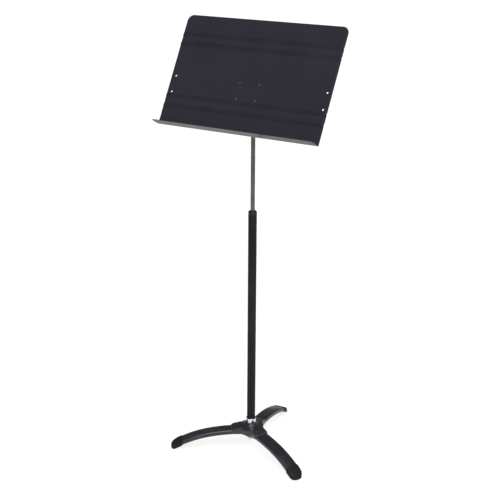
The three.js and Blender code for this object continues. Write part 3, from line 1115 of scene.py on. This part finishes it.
# ----------------------------------------------------------------------------------------------------------
# Rod and column
# ----------------------------------------------------------------------------------------------------------


@dataclass
class Mast:
    """The plated rod that slides and turns in the column, with the friction grip on its lower end."""

    radius: float = ROD_RADIUS
    stud_radius: float = 4.0
    stud_bottom: float = 368.0
    shoulder: float = 430.0
    top: float = PIVOT.z / MILLIMETRE - ROD_TOP_DROP

    def build(self) -> None:
        """Builds the rod and dresses the grip's pieces, which stay shut inside the tube."""
        profile = [
            (0, self.stud_bottom),
            (self.stud_radius, self.stud_bottom),
            (self.stud_radius, self.shoulder),
            (self.radius, self.shoulder),
            (self.radius, self.top),
            (0, self.top),
        ]
        made = turned(profile, edge=1.0, segments=72).object("plated_rod", COLUMN_PLACE)
        fit(made, BLACK_NICKEL, Body.MAST, "lift_rod")
        for node in ("grip_cone", "grip_washer", "grip_nut"):
            dress(node, ZINC)
        dress("grip_sleeve", NYLON)
        dress("grip_spring", SPRING_STEEL)


@dataclass
class Column:
    """The enamelled tube, its moulded cap, and the plated collar at its foot."""

    radius: float = 12.5
    bore: float = 11.0
    bottom: float = 40.3
    top: float = 745.0
    collar_radius: float = 15.0
    collar_bottom: float = 76.3
    collar_top: float = 93.5

    def build(self) -> None:
        """Builds the tube and what is on it, and dresses what is inside."""
        tube = ring(self.bore, self.radius, self.bottom, self.top, 0.5)
        fit(tube.object("enamelled_tube", COLUMN_PLACE), ENAMEL, Body.BASE, "column_tube")
        self.build_cap()
        self.build_collar()
        dress("guide_bush", NYLON)
        dress("tube_plug", ZINC)

    def build_cap(self) -> None:
        """Builds the domed cap that guides the rod into the tube."""
        bore, spigot, edge = ROD_RADIUS + 0.25, self.bore - 0.1, self.radius + 0.1
        dome = arc((edge - 5.2, self.top + 4.8), 5.2, 0, 84, 10)
        profile = [
            (bore, self.top - 8),
            (spigot, self.top - 8),
            (spigot, self.top + 0.1),
            (edge, self.top + 0.1),
            *dome,
            (bore + 0.6, self.top + 10),
            (bore, self.top + 9.6),
        ]
        fit(turned(profile, 0.25, 72).object("domed_cap", COLUMN_PLACE), ABS, Body.BASE, "tube_cap")

    def build_collar(self) -> None:
        """Builds the plated collar between the tube and the base's hub."""
        bore = self.radius + 0.15
        profile = [
            (bore, self.collar_bottom),
            (self.collar_radius, self.collar_bottom),
            (self.collar_radius, self.collar_top),
            (bore, self.collar_top),
        ]
        made = turned(profile, 1.2, 80).object("plated_collar", COLUMN_PLACE)
        fit(made, CHROME, Body.BASE, "base_collar")


# ----------------------------------------------------------------------------------------------------------
# Base
# ----------------------------------------------------------------------------------------------------------


# The arch of a leg's back, in millimetres: its height over the column's axis, and how far it has fallen at a
# distance out along the leg.
ARCH_TOP = 60.8
ARCH_FALL = 37.0
ARCH_REACH = 222.0


def arch_height(distance: float) -> float:
    """The height of a leg's back at a distance from the column's axis."""
    return ARCH_TOP - ARCH_FALL * (distance / ARCH_REACH) ** 3


@dataclass
class LegBeam:
    """A leg: a pressed channel, open below, with round shoulders, arched down to the floor."""

    half_width: float = 20.0
    depth: float = 13.5
    wall: float = 3.0
    shoulder: float = 6.0
    start: float = 23.0
    end: float = 228.0
    screws: tuple[float, ...] = (28.0, 42.0)

    def section(self) -> list[Point2]:
        """The channel's outline about its back, as sideways and upward distances.

        Returns:
            A closed outline.
        """
        outer, inner = self.half_width, self.half_width - self.wall
        bend, inner_bend = self.shoulder, self.shoulder - self.wall
        lip = self.wall / 2
        return [
            *arc((outer - lip, -self.depth + lip), lip, -90, 0, 4),
            *arc((outer - bend, -bend), bend, 0, 90, 8),
            *arc((-outer + bend, -bend), bend, 90, 180, 8),
            *arc((-outer + lip, -self.depth + lip), lip, 180, 360, 8),
            *arc((-inner + inner_bend, -self.wall - inner_bend), inner_bend, 180, 90, 4),
            *arc((inner - inner_bend, -self.wall - inner_bend), inner_bend, 90, 0, 4),
            (inner, -self.depth + lip),
        ]

    def build(self, leg: Leg) -> None:
        """Builds one leg and its screws.

        Args:
            leg: which leg.
        """
        steps = 56
        loops = []
        for i in range(steps + 1):
            x = self.start + (self.end - self.start) * i / steps
            loops.append([Vector((x, y, arch_height(x) + z)) for y, z in self.section()])
        name = leg.label
        made = bridge(loops).object(f"channel_leg_{name}", leg.place)
        turn_out(made)
        fit(made, SHEEN_GREYED_POWDER_COAT, Body.BASE, f"leg_{name}", crease=45)
        for x, which in zip(self.screws, ("inner", "outer")):
            self.build_screw(leg, x, which)

    def build_screw(self, leg: Leg, x: float, which: str) -> None:
        """Builds a pan-head screw under the leg, with a hexagon recess in its head.

        Args:
            leg: which leg.
            x: its distance from the column.
            which: inner or outer, for its name.
        """
        seat = arch_height(x) - self.wall - 0.2
        foot, tip = seat - 2.8, 65.3
        profile = [(0, foot), (2.8, foot), (4.3, seat - 1.8), (4.5, seat), (2.5, seat), (2.5, tip), (0, tip)]
        shape = turned(profile, edge=0.5, segments=40)
        spot = Matrix.Translation((x, 0, 0))
        name = leg.label
        made = shape.moved(spot).object(f"pan_screw_{name}_{which}", leg.place)
        recess = extruded(hexagon(3.0), seat - 4, seat - 1.2).moved(spot)
        work(made, (Cut.REMOVE, recess), place=leg.place)
        fit(made, ZINC, Body.BASE, f"leg_screw_{name}_{which}")


@dataclass
class Boot:
    """A moulded rubber boot pushed on the end of a leg, flat where it meets the floor."""

    start: float = 212.0
    end: float = 246.0
    half_width: float = 21.4
    cover: float = 1.4
    depth: float = 14.9
    shoulder: float = 6.6
    corner: float = 20.0
    toe: float = 5.0
    toe_drop: float = 4.0
    sleeve: float = 12.0

    def outline(self, half_width: float, low: float, high: float) -> list[Point2]:
        """A section with round shoulders and slightly round lower edges.

        Args:
            half_width: half its width.
            low: its lower face.
            high: its upper face.

        Returns:
            A closed outline with the same number of points at every size.
        """
        bend = min(self.shoulder, half_width - 0.5, 0.7 * (high - low))
        foot = min(1.2, 0.2 * (high - low))
        return [
            *arc((half_width - foot, low + foot), foot, -90, 0, 4),
            *arc((half_width - bend, high - bend), bend, 0, 90, 10),
            *arc((-half_width + bend, high - bend), bend, 90, 180, 10),
            *arc((-half_width + foot, low + foot), foot, 180, 270, 4),
        ]

    def size_at(self, x: float) -> tuple[float, float, float]:
        """The boot's half width and its lower and upper faces at a distance from the column.

        Args:
            x: the distance.

        Returns:
            Half width, low and high.
        """
        into_corner = max(0.0, x - (self.end - self.corner)) / self.corner
        half_width = self.half_width - self.corner * (1 - math.sqrt(max(0.0, 1 - into_corner**2)))
        into_toe = max(0.0, x - (self.end - self.toe)) / self.toe
        high = arch_height(x) + self.cover - self.toe_drop * (1 - math.sqrt(max(0.0, 1 - into_toe**2)))
        low = max(0.0, arch_height(x) - self.depth)
        return half_width, low, high

    def build(self, leg: Leg) -> None:
        """Builds the boot of one leg.

        Args:
            leg: which leg.
        """
        mouth = ((5.0, 1.5), (0.5, 1.4), (0.0, 1.2), (0.0, 0.5))
        loops = [self.loop_at(self.start + inside, shrink) for inside, shrink in mouth]
        rows = 8
        for i in range(rows + 1):
            loops.append(self.loop_at(self.start + 0.6 + self.sleeve * i / rows, 0.0))
        steps = 20
        bend_start = self.start + self.sleeve + 1.0
        for i in range(1, steps):
            turn = math.radians(90 * i / steps)
            loops.append(self.loop_at(bend_start + (self.end - bend_start) * math.sin(turn), 0.0))
        name = leg.label
        made = bridge(loops).object(f"moulded_boot_{name}", leg.place)
        turn_out(made)
        fit(made, RUBBER, Body.BASE, f"rubber_boot_{name}", crease=50)

    def loop_at(self, x: float, shrink: float) -> list[Vector]:
        """The boot's section at a distance from the column, made smaller all round."""
        half_width, low, high = self.size_at(x)
        outline = self.outline(half_width - shrink, low + shrink, high - shrink)
        return [Vector((x, y, z)) for y, z in outline]


@dataclass
class Hub:
    """The cast hub: a conical crown with a mouth for each leg, hollow below around the column's boss."""

    crown_line: tuple[Point2, ...] = (
        (15.5, 76.0),
        (17.0, 75.0),
        (20.0, 71.8),
        (26.0, 69.2),
        (36.0, 66.2),
        (38.0, 65.8),
    )
    bore: float = 12.8
    boss: float = 19.5
    boss_bottom: float = 34.0
    socket_floor: float = 40.0
    bolt_hole: float = 5.3
    rim: float = 38.0
    rim_bottom: float = 48.0
    arm_half_width: float = 22.2
    arm_end: float = 61.0
    arm_end_top: float = 62.4
    arm_slope: float = 0.2
    shell: float = 3.5
    directions: int = 240

    @property
    def top(self) -> float:
        """The height of the crown under the collar."""
        return self.crown_line[0][1]

    def build(self) -> None:
        """Builds the hub and the fasteners below it."""
        loops = [self.spoke(math.radians(360 * i / self.directions)) for i in range(self.directions)]
        made = bridge(loops, ring=True).object("cast_hub", COLUMN_PLACE)
        turn_out(made)
        fit(made, SHEEN_GREYED_POWDER_COAT, Body.BASE, "base_hub", crease=50)
        self.build_bolt()

    def outline(self, off: float) -> float:
        """The hub's radius at an angle off the nearest leg.

        Args:
            off: the angle, in radians.

        Returns:
            The radius, blended from the round rim into the straight mouth.
        """
        along = (abs(math.cos(off)) / self.arm_end) ** 12
        across = (abs(math.sin(off)) / self.arm_half_width) ** 12
        mouth = (along + across) ** (-1 / 12)
        return (self.rim**16 + mouth**16) ** (1 / 16)

    def crown(self, radius: float, off: float) -> float:
        """The height of the upper face, before its edge is rounded.

        Args:
            radius: the distance from the axis.
            off: the angle off the nearest leg, in radians.

        Returns:
            The height.
        """
        flare = self.crown_line[-1][1] if radius > self.rim else self.top
        for (near, above), (far, below) in zip(self.crown_line, self.crown_line[1:]):
            if near <= radius <= far:
                flare = above + (below - above) * (radius - near) / (far - near)
        back = self.arm_end_top + self.arm_slope * (self.arm_end - radius * math.cos(off))
        if radius > self.rim:
            return back
        share = max(0.0, min(1.0, (radius - 26.0) / 12.0)) * max(0.0, min(1.0, (0.75 - off) / 0.15))
        return flare + (back - flare) * share

    def spoke(self, angle: float) -> list[Vector]:
        """The hub's outline in the plane through its axis at an angle.

        Args:
            angle: from +X, in radians.

        Returns:
            A closed loop of points.
        """
        off = min(abs(wrapped(angle - math.radians(leg.value))) for leg in Leg)
        radius = self.outline(off)
        mouth = max(0.0, min(1.0, (radius - self.rim) / 8.0))
        bend = 2.0 + 3.0 * mouth
        line: list[Point2] = [(self.bore, self.socket_floor), (self.bore, self.top - 0.5)]
        line.append((self.bore + 0.5, self.top))
        steps = 14
        reach = radius - bend
        for i in range(1, steps + 1):
            r = self.bore + 0.5 + (reach - self.bore - 0.5) * i / steps
            line.append((r, self.crown(r, off)))
        edge = self.crown(reach, off)
        for x, z in arc((reach, edge - bend), bend, 80, 0, 6):
            line.append((x, z))
        line += [(radius, self.rim_bottom + 0.8), (radius - 0.8, self.rim_bottom)]
        inner = radius - self.shell
        line += [(inner + 0.6, self.rim_bottom), (inner, self.rim_bottom + 0.6)]
        roof = edge - self.shell - 1.0
        line += [(inner, roof - 2), (inner - 2, roof)]
        under = self.top - self.shell - 5.0
        for i in range(1, 7):
            t = i / 6
            line.append((inner - 2 + (self.boss + 2 - inner + 2) * t, roof + (under - roof) * t))
        line += [(self.boss, under - 2), (self.boss, self.boss_bottom + 1), (self.boss - 1, self.boss_bottom)]
        line += [(self.bolt_hole, self.boss_bottom), (self.bolt_hole, self.socket_floor)]
        return [Vector((r * math.cos(angle), r * math.sin(angle), z)) for r, z in line]

    def build_bolt(self) -> None:
        """Builds the bolt that holds the column down, with its washers."""
        head = chamfered_hexagon(17.0, 23, 29.3, "column_bolt", Matrix.Identity(4), COLUMN_PLACE)
        work(head, (Cut.JOIN, disc(5.0, 29, 60, 0.5)), place=COLUMN_PLACE)
        fit(head, ZINC, Body.BASE, "base_bolt", crease=28)
        washer = ring(5.3, 15.0, 31.9, 33.8).object("column_washer", COLUMN_PLACE)
        fit(washer, ZINC, Body.BASE, "base_washer")
        spring = ring(5.3, 8.5, 29.5, 31.7).object("column_lock_washer", COLUMN_PLACE)
        slit = extruded([(4.5, -0.5), (9, 0.3), (9, 1.1), (4.5, 0.3)], 28, 33)
        work(spring, (Cut.REMOVE, slit), place=COLUMN_PLACE)
        fit(spring, SPRING_STEEL, Body.BASE, "base_lock_washer")


def wrapped(angle: float) -> float:
    """An angle brought between minus pi and pi."""
    return (angle + math.pi) % (2 * math.pi) - math.pi


# ----------------------------------------------------------------------------------------------------------
# Studio
# ----------------------------------------------------------------------------------------------------------


@dataclass(frozen=True)
class Lamp:
    """A lamp's light: strength in W/m2, width in degrees, colour, and whether it casts shadows."""

    energy: float
    spread: float
    colour: Point3
    shadow: bool


@dataclass
class Studio:
    """White paper, a dim dome with three broad lamps, and the camera."""

    azimuth: float = 30.99
    elevation: float = 19.30
    roll: float = 0.391
    distance: float = 2.973
    target_height: float = 0.6356
    sideways: float = -0.0067
    lens: float = 74.08
    sensor: float = 36.0

    def build(self) -> None:
        """Builds the floor, the lights and the camera."""
        self.build_floor()
        self.build_light()
        self.build_camera()

    def build_floor(self) -> None:
        """Lays the paper that the stand is on."""
        reach = 60000.0
        signs = ((-1, -1), (1, -1), (1, 1), (-1, 1))
        corners = [Vector((x * reach, y * reach, 0)) for x, y in signs]
        floor = Shape(corners, [(0, 1, 2, 3)]).object("paper_floor", SCALE)
        floor.location.z = -0.0004  # a hair below the boots, so that the two faces don't coincide
        floor.data.materials.append(PAPER.material())

    def build_light(self) -> None:
        """Lights the room: a dim dome, a key and a fill at the front right, a cool window at the left."""
        bpy.context.scene.view_settings.view_transform = "Standard"
        world = bpy.data.worlds.new("studio")
        bpy.context.scene.world = world
        world.use_nodes = True
        background = world.node_tree.nodes["Background"]
        background.inputs["Color"].default_value = (0.96, 0.94, 1.0, 1.0)
        background.inputs["Strength"].default_value = 0.14
        front_right = Vector((0.45, -0.4, 0.95))
        warm = (1.0, 0.99, 0.97)
        self.add_lamp("key", front_right, Lamp(0.5, 55.0, warm, shadow=True))
        self.add_lamp("fill", front_right, Lamp(3.3, 55.0, warm, shadow=False))
        self.add_lamp("window", Vector((-0.56, -0.65, 0.52)), Lamp(0.2, 34.0, (0.84, 0.78, 1.0), shadow=True))

    def add_lamp(self, name: str, towards: Vector, lamp: Lamp) -> None:
        """Adds a broad lamp so far away that its light is even.

        Args:
            name: the lamp's name.
            towards: the direction from the stand to the lamp.
            lamp: its light.
        """
        light = bpy.data.lights.new(name, "SUN")
        light.energy = lamp.energy
        light.color = lamp.colour
        light.angle = math.radians(lamp.spread)
        light.use_shadow = lamp.shadow
        made = bpy.data.objects.new(name, light)
        bpy.context.scene.collection.objects.link(made)
        made.rotation_euler = towards.to_track_quat("Z", "Y").to_euler()

    def build_camera(self) -> None:
        """Puts the camera where the stand is seen from."""
        az, el, roll = (math.radians(a) for a in (self.azimuth, self.elevation, self.roll))
        right = Vector((math.cos(az), math.sin(az), 0))
        back = Vector((math.sin(az) * math.cos(el), -math.cos(az) * math.cos(el), math.sin(el)))
        up = back.cross(right)
        turned_right = right * math.cos(roll) + up * math.sin(roll)
        turned_up = up * math.cos(roll) - right * math.sin(roll)
        target = COLUMN + Vector((0, 0, self.target_height)) + right * self.sideways
        lens = bpy.data.cameras.new("camera")
        lens.lens = self.lens
        lens.sensor_width = self.sensor
        lens.clip_end = 200.0
        camera = bpy.data.objects.new("camera", lens)
        bpy.context.scene.collection.objects.link(camera)
        axes = Matrix((turned_right, turned_up, back)).transposed().to_4x4()
        camera.matrix_world = Matrix.Translation(target + back * self.distance) @ axes
        bpy.context.scene.camera = camera


def main() -> None:
    """Builds the stand from the desk down, then the studio."""
    logging.basicConfig(level=logging.INFO, format="%(message)s")
    desk = Desk()
    beam = LegBeam()
    boot = Boot()
    desk.build()
    TiltJoint(desk).build()
    Mast().build()
    Column().build()
    Hub().build()
    for leg in Leg:
        beam.build(leg)
        boot.build(leg)
    Studio().build()


if __name__ == "__main__":
    main()
